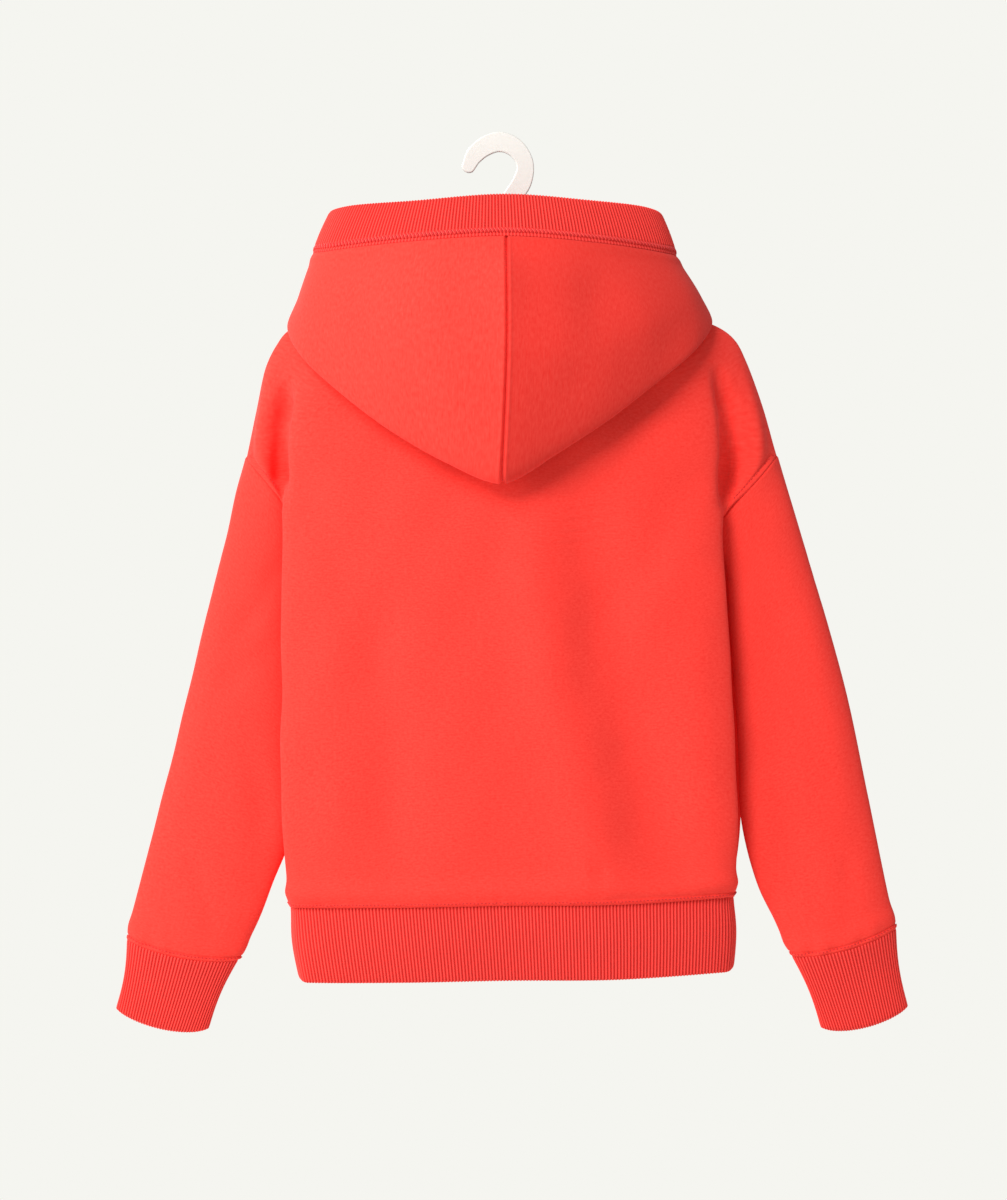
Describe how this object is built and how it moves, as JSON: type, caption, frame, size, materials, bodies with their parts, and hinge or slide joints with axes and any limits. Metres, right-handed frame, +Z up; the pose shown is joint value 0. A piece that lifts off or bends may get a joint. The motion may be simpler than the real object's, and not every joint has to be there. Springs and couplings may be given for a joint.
{
  "type": "kids hoodie",
  "caption": "Child's pullover hoodie in fleece with ribbed hood edge, cuffs and hem, hood down, hanging flat by the hook of a plain moulded hanger.",
  "frame": {"origin": "inside top of the hanger's hook, in the middle of its plate, where it rests on a peg or rail", "axes": "+Z up, -Y out of the garment's back toward the viewer of the picture, +Y out of its front, +X to that viewer's right"},
  "size_m": [0.6495, 0.1163, 0.7389],
  "materials": {
    "fleece": "brushed fleece",
    "rib": "ribbed knit",
    "plastic": "satin"
  },
  "bodies": {
    "root": {"back": "fleece", "front": "fleece", "sleeve_left": "fleece", "sleeve_right": "fleece", "hood_left": "fleece", "hood_right": "fleece", "hood_band": "rib", "hem_band": "rib", "cuff_left": "rib", "cuff_right": "rib", "hanger": "plastic"}
  },
  "joints": []
}
